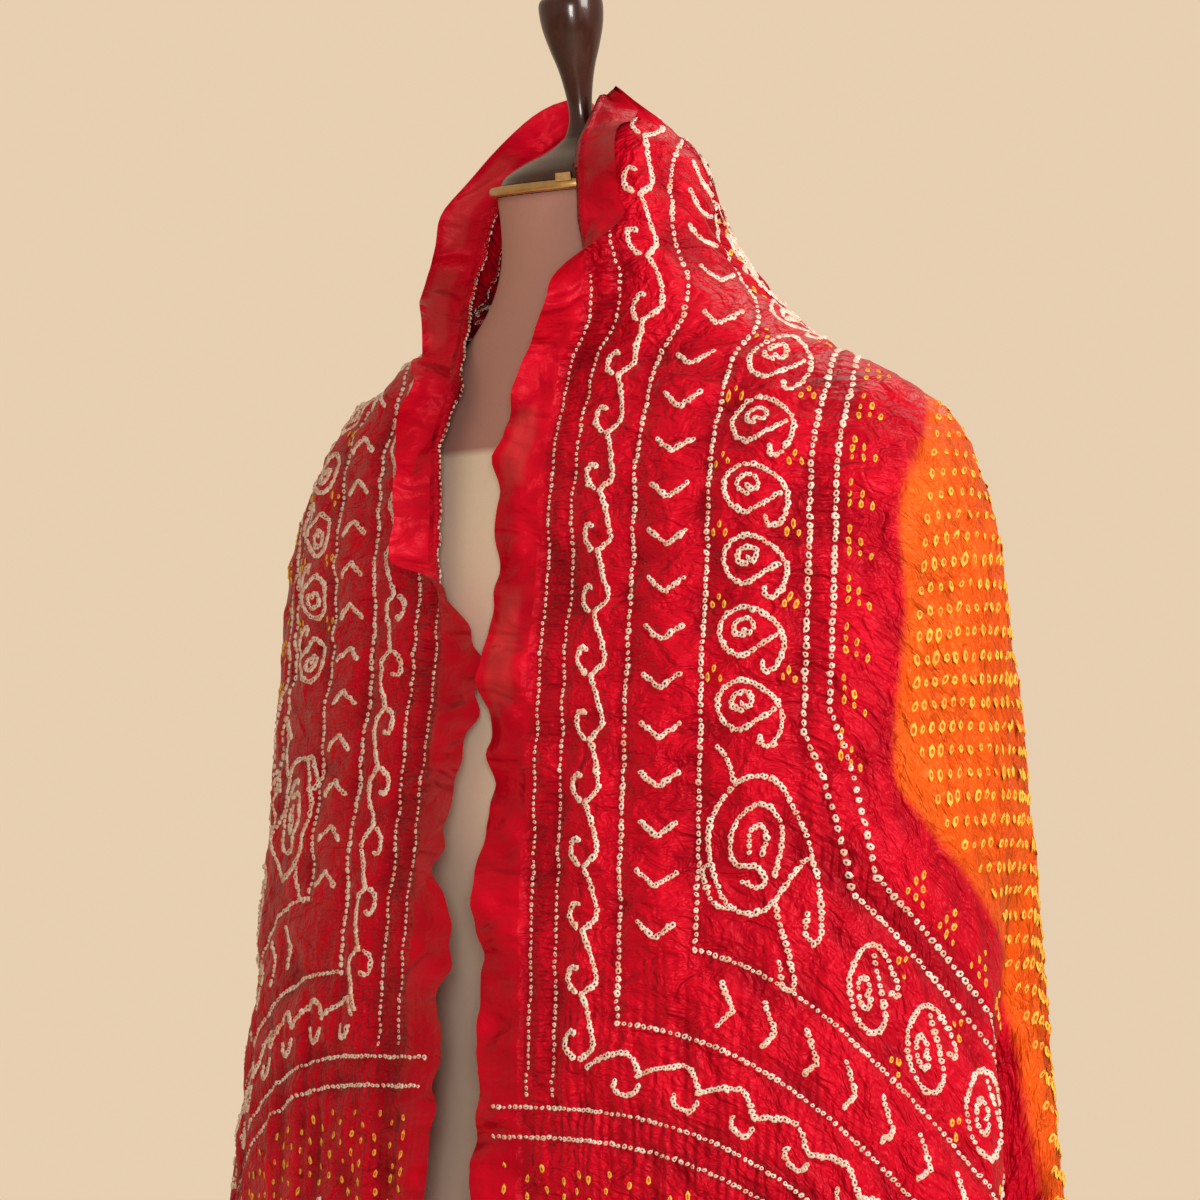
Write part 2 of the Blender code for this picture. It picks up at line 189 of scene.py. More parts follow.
FORM = (
    # dz,     half,  front, back,  middle, lean
    (0.0000, 0.052, 0.052, 0.052, 0.000, 1.00),
    (-0.020, 0.053, 0.053, 0.054, 0.002, 0.95),
    (-0.045, 0.058, 0.056, 0.060, 0.006, 0.60),
    (-0.066, 0.072, 0.059, 0.067, 0.012, 0.25),
    (-0.088, 0.098, 0.063, 0.074, 0.019, 0.00),
    (-0.106, 0.128, 0.070, 0.080, 0.027, 0.00),
    (-0.124, 0.152, 0.080, 0.087, 0.034, 0.00),
    (-0.150, 0.165, 0.092, 0.095, 0.038, 0.00),
    (-0.200, 0.166, 0.108, 0.102, 0.040, 0.00),
    (-0.270, 0.158, 0.124, 0.104, 0.043, 0.00),
    (-0.340, 0.147, 0.128, 0.098, 0.044, 0.00),
    (-0.430, 0.128, 0.104, 0.082, 0.040, 0.00),
    (-0.500, 0.122, 0.096, 0.078, 0.036, 0.00),
    (-0.580, 0.140, 0.102, 0.092, 0.034, 0.00),
    (-0.660, 0.154, 0.104, 0.102, 0.034, 0.00),
    (-0.7247, 0.154, 0.100, 0.100, 0.034, 0.00),
)
FINIAL_PROFILE = (
    # r, h
    (0.0000, 0.1290),
    (0.0085, 0.1265),
    (0.0145, 0.1205),
    (0.0165, 0.1130),
    (0.0160, 0.1085),
    (0.0178, 0.1050),
    (0.0180, 0.0990),
    (0.0168, 0.0900),
    (0.0138, 0.0790),
    (0.0103, 0.0680),
    (0.0078, 0.0560),
    (0.0066, 0.0450),
    (0.0075, 0.0370),
    (0.0110, 0.0300),
    (0.0200, 0.0240),
    (0.0340, 0.0180),
    (0.0450, 0.0118),
    (0.0490, 0.0063),
)

# ------------------------------------------------------------------ small maths


class Table:
    """A table read smoothly at values of its first column."""

    def __init__(self, rows):
        rows = np.array(sorted(rows), float)
        self.key = rows[:, 0]
        self.val = rows
        step = np.diff(rows, axis=0) / np.diff(self.key)[:, None]
        slope = np.zeros_like(rows)
        slope[0] = step[0]
        slope[-1] = step[-1]
        limit = 3.0 * np.minimum(abs(step[:-1]), abs(step[1:]))
        middle = np.clip(0.5 * (step[:-1] + step[1:]), -limit, limit)
        slope[1:-1] = np.where(step[:-1] * step[1:] > 0.0, middle, 0.0)
        self.slope = slope

    def __call__(self, at, *columns):
        at = np.clip(np.asarray(at, float), self.key[0], self.key[-1])
        i = np.clip(np.searchsorted(self.key, at, side="right") - 1, 0, len(self.key) - 2)
        h = self.key[i + 1] - self.key[i]
        w = (at - self.key[i]) / h
        got = []
        for k in columns:
            flat = (1.0 + 2.0 * w) * (1.0 - w) ** 2 * self.val[i, k]
            flat = flat + w * w * (3.0 - 2.0 * w) * self.val[i + 1, k]
            bent = w * (1.0 - w) ** 2 * self.slope[i, k] - w * w * (1.0 - w) * self.slope[i + 1, k]
            got.append(flat + h * bent)
        return got[0] if len(got) == 1 else got


def ease(x, a, b):
    w = np.clip((x - a) / (b - a), 0.0, 1.0)
    return w * w * (3.0 - 2.0 * w)


def bell(x, middle, width):
    return np.exp(-(((x - middle) / width) ** 2))


def bumps(x, y, seed):
    """Smooth random heights between -1 and 1, about one bump per unit."""
    rng = np.random.default_rng(seed)
    grid = rng.uniform(-1.0, 1.0, (128, 128))
    xi = np.floor(x).astype(int)
    yi = np.floor(y).astype(int)
    fx = x - xi
    fy = y - yi
    fx = fx * fx * (3.0 - 2.0 * fx)
    fy = fy * fy * (3.0 - 2.0 * fy)
    a = grid[xi % 128, yi % 128] * (1 - fx) + grid[(xi + 1) % 128, yi % 128] * fx
    b = grid[xi % 128, (yi + 1) % 128] * (1 - fx) + grid[(xi + 1) % 128, (yi + 1) % 128] * fx
    return a * (1 - fy) + b * fy


def unit(v):
    return v / np.maximum(np.linalg.norm(v, axis=-1, keepdims=True), 1e-12)


# ------------------------------------------------------------------ the drape


def down_rows():
    """The sections with the distance down the body's side in front of each."""
    rows = []
    down = 0.0
    for i, row in enumerate(SECTIONS):
        if i:
            down += math.hypot(row[0] - SECTIONS[i - 1][0], row[1] - SECTIONS[i - 1][1])
        rows.append((down, *row))
    return rows


DOWN = Table(down_rows())
HEIGHT_TO_DOWN = Table([(row[1], row[0]) for row in down_rows()])
TURN = Table(TURNS)
LOWEST = down_rows()[-1][0] - 0.02


def drape_point(az, down, tucked=0.0):
    """A place on the draped body: azimuth from the front, distance down, share pushed in."""
    dz, half, front, back, middle = DOWN(down, 1, 2, 3, 4, 5)
    a = np.radians(az)
    depth = np.where(np.cos(a) > 0.0, front, back)
    inward = np.zeros_like(a) + tucked
    for fold_az, start, full, share, before, after in FOLDS:
        width = np.where(az < fold_az, before, after)
        grown = share * ease(-dz, -start, -full)
        inward = inward + grown * np.exp(-(((az - fold_az) / width) ** 2))
    x = half * np.sin(a) * (1.0 - inward)
    y = middle - depth * np.cos(a) * (1.0 - inward)
    return np.stack([x, y + NECK_Y, dz + RING_Z], axis=-1)


def thread_step(az, down, length):
    """Change of azimuth and of distance down for one step along a cross thread."""
    e = 0.001
    across = (drape_point(az + 0.1, down) - drape_point(az - 0.1, down)) / 0.2
    along = (drape_point(az, down + e) - drape_point(az, down - e)) / (2.0 * e)
    n_across = np.linalg.norm(across, axis=-1)
    n_along = np.linalg.norm(along, axis=-1)
    lean = np.sum(across * along, axis=-1) / (n_across * n_along)
    c1, w1, c2, w2 = TURN(DOWN(down, 1), 1, 2, 3, 4)
    slope = SIDE_SLOPE * ease(az, c1 - w1, c1 + w1) + (90.0 - SIDE_SLOPE) * ease(az, c2 - w2, c2 + w2)
    a, b = np.cos(np.radians(slope)), np.sin(np.radians(slope))
    size = np.sqrt(a * a + b * b + 2.0 * a * b * lean)
    return a / size / n_across * length, b / size / n_along * length


def ruffle(along, w, side):
    """How far the free edge waves out of the band, for a share w of the band's width."""
    slow = bumps(along / 0.036 + 40.0 * side, along * 0.0 + 3.5, 11)
    quick = bumps(along / 0.013 + 90.0 * side, w * 2.0, 12)
    return 0.0120 * slow * w ** 1.2 + 0.0055 * quick * w


def half_cloth(along, across, crease, band, side):
    """Rows of points of one half: the body from the crease back, and the band in front of it."""
    crease = Table(crease)
    az, dz, tucked = crease(along, 1, 2, 3)
    down = HEIGHT_TO_DOWN(dz, 1)
    start_az, start_down = az, down
    here = CREASE_U
    rows = [drape_point(az, down, tucked)]
    for u in across:
        if u <= CREASE_U + 1e-6:
            continue
        d_az, d_down = thread_step(az, down, u - here)
        m_az, m_down = thread_step(az + d_az / 2.0, down + d_down / 2.0, u - here)
        az = np.minimum(az + m_az, 180.0)
        down = np.minimum(down + m_down, LOWEST)
        here = u
        fade = ease(-u, -CREASE_U - TUCK_FADE, -CREASE_U)
        rows.append(drape_point(az, down, tucked * fade))
    ahead = unit(drape_point(start_az - 0.5, start_down) - drape_point(start_az + 0.5, start_down))
    outward = unit(np.stack([-ahead[:, 1], ahead[:, 0], 0.0 * az], axis=-1))
    facing = outward[:, 0] * np.sin(np.radians(start_az)) - outward[:, 1] * np.cos(np.radians(start_az))
    outward = outward * np.sign(facing)[:, None]
    f, o, h = Table(band)(along, 1, 2, 3)
    way = f[:, None] * ahead + o[:, None] * outward + h[:, None] * np.array([0.0, 0.0, 1.0])
    off = unit(np.cross(way, np.gradient(rows[0], axis=0)))
    front = []
    for u in across:
        if u < CREASE_U - 1e-6:
            w = (CREASE_U - u) / CREASE_U
            wave = ruffle(along, w + 0.0 * along, side)
            scallop = 0.0050 * w * bumps(along / 0.017, along * 0.0 + 9.5, 13 + int(side > 0))
            reach = CREASE_U * w + scallop
            front.append(rows[0] + way * reach[:, None] + off * wave[:, None])
    return np.array(front + rows)


def steps(*stretches):
    """Stations: (end, number of cells) after a start of 0."""
    out = [0.0]
    for end, count in stretches:
        start = out[-1]
        out.extend(start + (end - start) * (i + 1) / count for i in range(count))
    return np.array(out)


ACROSS = steps((CREASE_U, 10), (0.290, 68), (CLOTH_W, 80))
LEFT_HALF = steps((LEFT_L, 292))
RIGHT_HALF = steps((RIGHT_L, 275))
left_half = half_cloth(LEFT_HALF, ACROSS, CREASE_LEFT, BAND_LEFT, 1.0)
right_half = half_cloth(RIGHT_HALF, ACROSS, CREASE_RIGHT, BAND_RIGHT, -1.0)
right_half = right_half[:, ::-1] * np.array([-1.0, 1.0, 1.0])
middle_line = 0.5 * (left_half[:, :1] + right_half[:, -1:])
BASE = np.concatenate([right_half[:, :-1], middle_line, left_half[:, 1:]], axis=1)
ALONG = np.concatenate([-RIGHT_HALF[:0:-1], LEFT_HALF])


def gathered(d):
    """How much the ties have drawn the border in at a distance from a long edge."""
    drawn = 0.009 * ease(d, 0.050, 0.095) + 0.002 * ease(d, 0.14, 0.20)
    return drawn * (1.0 - ease(d, 0.28, 0.40))


def settle(u):
    """From the pattern's own distance across to the draped cloth's."""
    return u - gathered(u) + gathered(CLOTH_W - u)


pattern_u = np.linspace(0.0, CLOTH_W, 801)
SS, UU = np.meshgrid(ALONG - OFF_CENTRE, np.interp(ACROSS, settle(pattern_u), pattern_u))
EDGE = np.minimum(UU, CLOTH_W - UU)                      # distance in from a long edge
RING = np.minimum(EDGE, PANEL - abs(SS))                 # distance in from the panel's outline


def grid_normals(points):
    ds = np.gradient(points, axis=1)
    du = np.gradient(points, axis=0)
    return unit(np.cross(ds, du))


def puckers():
    """Height of the tied puckers above the smooth drape, in metres."""
    small = bumps(SS / 0.0095, UU / 0.0085, 21) * 0.9
    small = small + bumps(SS / 0.0062, UU / 0.0062, 22) * 0.5
    large = bumps(SS / 0.024, UU / 0.019, 23)
    height = 0.0012 * small + 0.0017 * large
    # the plain strips between border lines stand up and the lines lie in a slight groove
    for line in EDGE_LINES + tuple(row[0] for row in BORDER_LINES):
        height -= 0.0017 * bell(RING, line, 0.0040)
    for middle in (0.0735, 0.1185, 0.169):
        height += 0.0014 * bell(RING, middle, 0.015)
    # gathers run across the end bands and down the pallu
    at_end = ease(abs(SS), PANEL - 0.19, PANEL - 0.05)
    height += at_end * 0.0020 * bumps(UU / 0.0085, SS / 0.055, 24)
    # gathers run across the long borders between their lines
    on_border = (1.0 - at_end) * ease(UU, 0.030, 0.040) * (1.0 - ease(RING, 0.215, 0.235))
    height += on_border * 0.0013 * bumps(SS / 0.0085, UU / 0.045, 25)
    # the orange field is quilted by its dots
    inside = ease(RING, 0.25, 0.28)
    xi = (SS / FIELD_SLANT + UU - CLOTH_W / 2) / FIELD_PITCH
    eta = (SS / FIELD_SLANT - UU + CLOTH_W / 2) / FIELD_PITCH
    quilt = np.cos(math.pi * xi) ** 2 * np.cos(math.pi * eta) ** 2
    height = height * (1.0 - 0.35 * inside) + inside * 0.0019 * (quilt - 0.4)
    # the turned band is smoother
    return height * (0.35 + 0.65 * ease(UU, 0.015, CREASE_U + 0.004))


PUCKER = puckers()
NORMAL = grid_normals(BASE)
CLOTH = BASE + NORMAL * PUCKER[..., None]
NORMAL = grid_normals(CLOTH)


def on_cloth(s, u):
    """Points, normals and along-directions of the cloth at the pattern's places (s, u)."""
    s = s + OFF_CENTRE
    u = settle(u)
    i = np.clip(np.searchsorted(ACROSS, u, side="right") - 1, 0, len(ACROSS) - 2)
    j = np.clip(np.searchsorted(ALONG, s, side="right") - 1, 0, len(ALONG) - 2)
    fu = ((u - ACROSS[i]) / (ACROSS[i + 1] - ACROSS[i]))[:, None]
    fs = ((s - ALONG[j]) / (ALONG[j + 1] - ALONG[j]))[:, None]

    def mix(a):
        low = a[i, j] * (1 - fs) + a[i, j + 1] * fs
        high = a[i + 1, j] * (1 - fs) + a[i + 1, j + 1] * fs
        return low * (1 - fu) + high * fu

    ahead = CLOTH[i, j + 1] - CLOTH[i, j]
    return mix(CLOTH), unit(mix(NORMAL)), unit(ahead)


# ------------------------------------------------------------------ the tied pattern, laid flat


class Pattern:
    """Knots laid out flat: along, across, direction, size."""

    def __init__(self):
        self.rows = []

    def dots(self, s, u, size, turn=0.0):
        s, u = np.atleast_1d(s).astype(float), np.atleast_1d(u).astype(float)
        turn = np.broadcast_to(turn, s.shape)
        self.rows.append(np.stack([s, u, turn, np.full(s.shape, size)], axis=-1))

    def chain(self, points, pitch, size, smooth=True):
        p = np.array(points, float)
        if smooth and len(p) > 2:
            p = rounded(p)
        run = np.concatenate([[0.0], np.cumsum(np.linalg.norm(np.diff(p, axis=0), axis=-1))])
        count = max(2, int(round(run[-1] / pitch)) + 1)
        at = np.linspace(0.0, run[-1], count)
        s = np.interp(at, run, p[:, 0])
        u = np.interp(at, run, p[:, 1])
        turn = np.arctan2(np.gradient(u), np.gradient(s))
        self.dots(s, u, size, turn)

    def all(self):
        return np.concatenate(self.rows)


def rounded(p, per=8):
    """Points of a smooth curve through the given ones."""
    ends = np.concatenate([[2 * p[0] - p[1]], p, [2 * p[-1] - p[-2]]])
    out = []
    w = np.linspace(0.0, 1.0, per, endpoint=False)[:, None]
    for k in range(len(p) - 1):
        a, b, c, d = ends[k:k + 4]
        out.append(0.5 * (2 * b + (c - a) * w + (2 * a - 5 * b + 4 * c - d) * w ** 2
                          + (3 * b - a - 3 * c + d) * w ** 3))
    return np.concatenate(out + [p[-1:]])


def on_side(side, points):
    """(travel, inward) on one side of the ring of borders to (along, across)."""
    p = np.array(points, float)
    a, d = p[:, 0], p[:, 1]
    if side == "near":
        return np.stack([a, d], axis=-1)
    if side == "far":
        return np.stack([-a, CLOTH_W - d], axis=-1)
    if side == "left_end":
        return np.stack([PANEL - d, a], axis=-1)
    return np.stack([d - PANEL, CLOTH_W - a], axis=-1)


LONG = ("near", "far")
ENDS = ("left_end", "right_end")
DOT = 0.00145           # knot sizes: yellow fillers,
FINE = 0.00180          # white figures,
FIELD_DOT = 0.00190     # the field's dots,
LOTUS_DOT = 0.00195     # the lotuses
white = Pattern()
yellow = Pattern()

VINE = ((0.0, 0.0), (0.008, 0.0035), (0.016, 0.0062), (0.023, 0.0082), (0.028, 0.0074), (0.0335, 0.0005))
HOOK = ((0.0325, -0.0050), (0.0285, -0.0092), (0.0230, -0.0098), (0.0190, -0.0078), (0.0195, -0.0045))
CHEVRON = ((-0.0040, -0.0102), (0.0, -0.0052), (0.0038, -0.0005), (0.0, 0.0050), (-0.0038, 0.0100))
SPIRAL = ((0.0005, 0.0135), (0.0060, 0.0050), (0.0102, -0.0025), (0.0090, -0.0078), (0.0060, -0.0120),
          (0.0, -0.0150), (-0.0068, -0.0142), (-0.0112, -0.0105), (-0.0138, -0.0045), (-0.0130, 0.0012),
          (-0.0100, 0.0075), (-0.0058, 0.0135), (0.0, 0.0172), (0.0060, 0.0180), (0.0130, 0.0156),
          (0.0172, 0.0120), (0.0172, 0.0080), (0.0136, 0.0070))
CURL = ((0.0005, -0.0030), (-0.0008, -0.0066), (-0.0045, -0.0074), (-0.0074, -0.0040), (-0.0070, 0.0008),
        (-0.0036, 0.0026), (-0.0008, 0.0010), (-0.0020, -0.0022))
ROSE = (
    ((0.0150, 0.0130), (0.0225, 0.0060), (0.0265, -0.0040), (0.0255, -0.0130), (0.0190, -0.0190),
     (0.0080, -0.0235), (-0.0040, -0.0250), (-0.0160, -0.0215), (-0.0270, -0.0130), (-0.0330, -0.0010),
     (-0.0320, 0.0110), (-0.0250, 0.0180), (-0.0180, 0.0240), (-0.0080, 0.0310), (0.0050, 0.0365),
     (0.0180, 0.0385), (0.0240, 0.0350), (0.0220, 0.0300), (0.0150, 0.0300)),
    ((0.0060, 0.0110), (-0.0060, 0.0140), (-0.0150, 0.0130), (-0.0210, 0.0060), (-0.0180, -0.0040),
     (-0.0080, -0.0120), (0.0040, -0.0130), (0.0075, -0.0080), (0.0060, 0.0010), (0.0100, 0.0060),
     (0.0145, 0.0020), (0.0140, -0.0060)),
    ((0.0010, -0.0030), (-0.0080, -0.0030), (-0.0120, 0.0020), (-0.0080, 0.0060), (0.0, 0.0040)),
    ((0.0150, 0.0130), (0.0060, 0.0190), (-0.0020, 0.0250), (-0.0070, 0.0300)),
    ((0.0180, 0.0120), (0.0260, 0.0160), (0.0360, 0.0220), (0.0460, 0.0250), (0.0480, 0.0190),
     (0.0400, 0.0160)),
    ((0.0265, -0.0140), (0.0270, -0.0200), (0.0200, -0.0255), (0.0120, -0.0285), (0.0100, -0.0250)),
    ((-0.0310, -0.0120), (-0.0390, -0.0150), (-0.0470, -0.0210)),
)
LOTUS = (
    ((0.030, 0.0), (0.018, -0.008), (0.0, -0.010), (-0.016, -0.005), (-0.026, 0.0), (-0.016, 0.005),
     (0.0, 0.010), (0.018, 0.008), (0.030, 0.0)),
    ((0.026, -0.004), (0.020, -0.018), (0.004, -0.024), (-0.014, -0.020), (-0.004, -0.012)),
    ((0.026, 0.004), (0.020, 0.018), (0.004, 0.024), (-0.014, 0.020), (-0.004, 0.012)),
    ((0.030, -0.004), (0.030, -0.022), (0.018, -0.034), (0.004, -0.036), (0.010, -0.026)),
    ((0.030, 0.004), (0.030, 0.022), (0.018, 0.034), (0.004, 0.036), (0.010, 0.026)),
    ((0.004, 0.0), (-0.006, 0.0)),
)


def motif(shape, side, a, d, scale=1.0):
    p = np.array(shape, float) * scale
    return on_side(side, p + np.array([a, d]))


def spans(low, high, period):
    """Even places from low to high, about a period apart."""
    count = max(1, int(round((high - low) / period)))
    return [low + (high - low) * k / count for k in range(count + 1)]


def tie_edge_lines():
    """Two fine lines beside the free edges. The near one breaks off where the collar turns over."""
    size, pitch = 0.00120, 0.0034
    before, after = EDGE_LINE_BREAK
    for line in EDGE_LINES:
        for side in LONG:
            for start, end in ((0.057 - PANEL, before), (after, PANEL - 0.057)):
                white.chain(on_side(side, [(start, line), (end, line)]), pitch, size, False)
        for side in LONG:
            if side == "far" or line > CREASE_U:
                white.chain(on_side(side, [(0.074, line), (0.211, line)]), pitch, size, False)
        for side in ENDS:
            white.chain(on_side(side, [(0.012, line), (CLOTH_W - 0.012, line)]), 0.0036, 0.00145, False)


def tie_border_lines():
    """The lines between the bands, the inner two cut across the corners."""
    for line, cut, size, pitch in BORDER_LINES:
        end = PANEL - line
        straight = end - cut * 1.5
        for side in LONG:
            white.chain(on_side(side, [(-straight, line), (straight, line)]), pitch, size, False)
            for way in (-1, 1) if cut else ():
                slant = [(way * (straight + 0.003), line + 0.002)]
                slant += [(way * (end - 0.002), line + cut - 0.003)]
                white.chain(on_side(side, slant), pitch, size, False)
        for side in ENDS:
            across = [(line + cut, line), (CLOTH_W - line - cut, line)]
            white.chain(on_side(side, across), pitch, size, False)


def tie_bands(side):
    """Vine, chevrons, spirals and stepped triangles along one side of the panel."""
    long_side = side in LONG
    low, high = (0.076 - PANEL, PANEL - 0.110) if long_side else (0.078, CLOTH_W - 0.110)
    for a in spans(low, high, 0.034):
        white.chain(motif(VINE, side, a, 0.0725, (1.0, 1.2)), 0.0026, FINE)
        white.chain(motif(HOOK, side, a, 0.0725, (1.0, 1.2)), 0.0024, FINE)
    low, high = (0.150 - PANEL, PANEL - 0.146) if long_side else (0.160, CLOTH_W - 0.160)
    for a in spans(low, high, 0.0262):
        white.chain(motif(CHEVRON, side, a, 0.1185), 0.0024, FINE, False)
    low, high = (0.282 - PANEL, PANEL - 0.263) if long_side else (0.250, CLOTH_W - 0.250)
    places = spans(low, high, 0.0405)
    for a in places:
        white.chain(motif(SPIRAL, side, a, 0.1665, 1.10), 0.0026, FINE)
        white.chain(motif(CURL, side, a, 0.1665, 1.15), 0.0025, FINE)
    for a in places[:-1]:
        for d in (0.1475, 0.1890):
            p = on_side(side, [(a + 0.018, d), (a + 0.0225, d - 0.0035), (a + 0.023, d + 0.0035)])
            yellow.dots(p[:, 0], p[:, 1], DOT)
    low, high = (0.260 - PANEL, PANEL - 0.260) if long_side else (0.270, CLOTH_W - 0.270)
    for a in spans(low, high, 0.025):
        for row in range(3):
            for k in range(row + 1):
                p = on_side(side, [(a + 0.0055 * row, 0.2195 + 0.0062 * k)])
                yellow.dots(p[:, 0], p[:, 1], DOT)


def tie_roses():
    """One rose inside each corner of the panel."""
    for along in (PANEL - 0.192, 0.192 - PANEL):
        for across in (0.173, CLOTH_W - 0.173):
            for loop in ROSE:
                p = np.array(loop) * 1.08
                if across > CLOTH_W / 2:
                    p = -p
                white.chain(p + np.array([along, across]), 0.0027, FINE)


def tie_field():
    """The orange field's dots, set on the bias."""
    k = np.arange(-150, 151)
    xi, eta = np.meshgrid(k * FIELD_PITCH, k * FIELD_PITCH)
    s = ((xi + eta) * (FIELD_SLANT / 2)).ravel()
    u = ((xi - eta) / 2).ravel() + CLOTH_W / 2
    edge = np.minimum(u, CLOTH_W - u)
    inside = 0.262
    keep = np.minimum(edge, PANEL - abs(s)) > inside
    keep &= edge + PANEL - abs(s) > inside * 2 + 0.020
    yellow.dots(s[keep], u[keep], FIELD_DOT)


def tie_pallu():
    """The end panels: yellow dots around two rows of white lotuses."""
    rng = np.random.default_rng(5)
    for end in (-1, 1):
        lotuses = [(PANEL + 0.054 + 0.028 * (n % 2), 0.100 + 0.100 * n) for n in range(7)]
        lotuses += [(PANEL + 0.170 + 0.022 * ((n + 1) % 2), 0.100 + 0.100 * n) for n in range(7)]
        for a, d in lotuses:
            for petal in LOTUS:
                p = np.array(petal) + np.array([a, d])
                p[:, 0] *= end
                white.chain(p, 0.0034, LOTUS_DOT)
        columns = np.arange(PANEL - 0.018, PANEL + 0.248, 0.0105)
        s, u = np.meshgrid(columns, np.arange(0.022, CLOTH_W - 0.015, 0.0118))
        s = (s + 0.0055 * (np.arange(s.shape[0]) % 2)[:, None]).ravel()
        u = u.ravel()
        s = s + rng.uniform(-0.0018, 0.0018, s.shape)
        u = u + rng.uniform(-0.0018, 0.0018, u.shape)
        clear = np.ones(s.shape, bool)
        for a, d in lotuses:
            clear &= ((s - a) / 0.036) ** 2 + ((u - d) / 0.040) ** 2 > 1.0
        yellow.dots(end * s[clear], u[clear], DOT)


tie_edge_lines()
tie_border_lines()
for side in LONG + ENDS:
    tie_bands(side)
tie_roses()
tie_field()
tie_pallu()


# ------------------------------------------------------------------ meshes


def mesh_object(name, verts, faces, mat, smooth=True):
    mesh = bpy.data.meshes.new(name)
    verts = np.asarray(verts, np.float32).reshape(-1, 3)
    faces = np.asarray(faces, np.int32)
    mesh.vertices.add(len(verts))
    mesh.vertices.foreach_set("co", verts.ravel())
    per = faces.shape[1]
    mesh.loops.add(faces.size)
    mesh.loops.foreach_set("vertex_index", faces.ravel())
    mesh.polygons.add(len(faces))
    mesh.polygons.foreach_set("loop_start", np.arange(0, faces.size, per, dtype=np.int32))
    mesh.polygons.foreach_set("loop_total", np.full(len(faces), per, np.int32))
    mesh.polygons.foreach_set("use_smooth", np.full(len(faces), smooth))
    mesh.update(calc_edges=True)
    mesh.validate()
    made = bpy.data.objects.new(name, mesh)
    bpy.context.scene.collection.objects.link(made)
    mesh.materials.append(mat)
    return made


def attribute(made, name, kind, values):
    layer = made.data.attributes.new(name, kind, "POINT")
    field = "vector" if kind == "FLOAT_VECTOR" else "value"
    layer.data.foreach_set(field, np.asarray(values, np.float32).ravel())


def grid_faces(rows, cols, wrap=False):
    r = np.arange(rows - 1)[:, None]
    c = np.arange(cols if wrap else cols - 1)[None, :]
    d = (c + 1) % cols
    quad = np.stack([r * cols + c, r * cols + d, (r + 1) * cols + d, (r + 1) * cols + c], axis=-1)
    return quad.reshape(-1, 4)


# ------------------------------------------------------------------ materials


class Nodes:
    """A material's node tree with short calls."""

    def __init__(self, name):
        self.mat = bpy.data.materials.new(name)
        self.mat.use_nodes = True
        self.tree = self.mat.node_tree
        self.tree.nodes.clear()
        self.out = self.add("ShaderNodeOutputMaterial")
        self.shader = self.add("ShaderNodeBsdfPrincipled")
        self.link(self.shader.outputs[0], self.out.inputs["Surface"])

    def add(self, kind, **values):
        node = self.tree.nodes.new(kind)
        for key, value in values.items():
            setattr(node, key, value)
        return node

    def link(self, a, b):
        self.tree.links.new(a, b)

    def put(self, value, socket):
        if isinstance(value, (int, float)):
            socket.default_value = value
        elif isinstance(value, tuple):
            colour = len(value) == 3 and len(socket.default_value) == 4
            socket.default_value = (*value, 1.0) if colour else value
        else:
            self.link(value, socket)

    def set(self, **values):
        for key, value in values.items():
            self.put(value, self.shader.inputs[key.replace("_", " ")])

    def math(self, operation, a, b=0.0, c=0.0):
        node = self.add("ShaderNodeMath", operation=operation)
        for value, socket in zip((a, b, c), node.inputs):
            self.put(value, socket)
        return node.outputs[0]

    def mix(self, share, a, b):
        node = self.add("ShaderNodeMix", data_type="RGBA")
        self.put(share, node.inputs[0])
        self.put(a, node.inputs[6])
        self.put(b, node.inputs[7])
        return node.outputs[2]

    def read(self, name, output="Fac"):
        return self.add("ShaderNodeAttribute", attribute_name=name).outputs[output]

    def coords(self):
        return self.add("ShaderNodeTexCoord").outputs["Object"]

    def stretch(self, vector, scale):
        node = self.add("ShaderNodeMapping")
        self.put(vector, node.inputs["Vector"])
        node.inputs["Scale"].default_value = scale
        return node.outputs[0]

    def noise(self, vector, scale, detail=2.0, rough=0.5, warp=0.0):
        node = self.add("ShaderNodeTexNoise")
        self.put(vector, node.inputs["Vector"])
        node.inputs["Scale"].default_value = scale
        node.inputs["Detail"].default_value = detail
        node.inputs["Roughness"].default_value = rough
        node.inputs["Distortion"].default_value = warp
        return node.outputs["Fac"]

    def fit(self, value, a, b, c=0.0, d=1.0):
        node = self.add("ShaderNodeMapRange")
        self.put(value, node.inputs[0])
        for socket, number in zip((1, 2, 3, 4), (a, b, c, d)):
            node.inputs[socket].default_value = number
        return node.outputs[0]

    def bump(self, height, distance, strength=1.0):
        node = self.add("ShaderNodeBump")
        self.put(height, node.inputs["Height"])
        node.inputs["Distance"].default_value = distance
        node.inputs["Strength"].default_value = strength
        self.link(node.outputs[0], self.shader.inputs["Normal"])


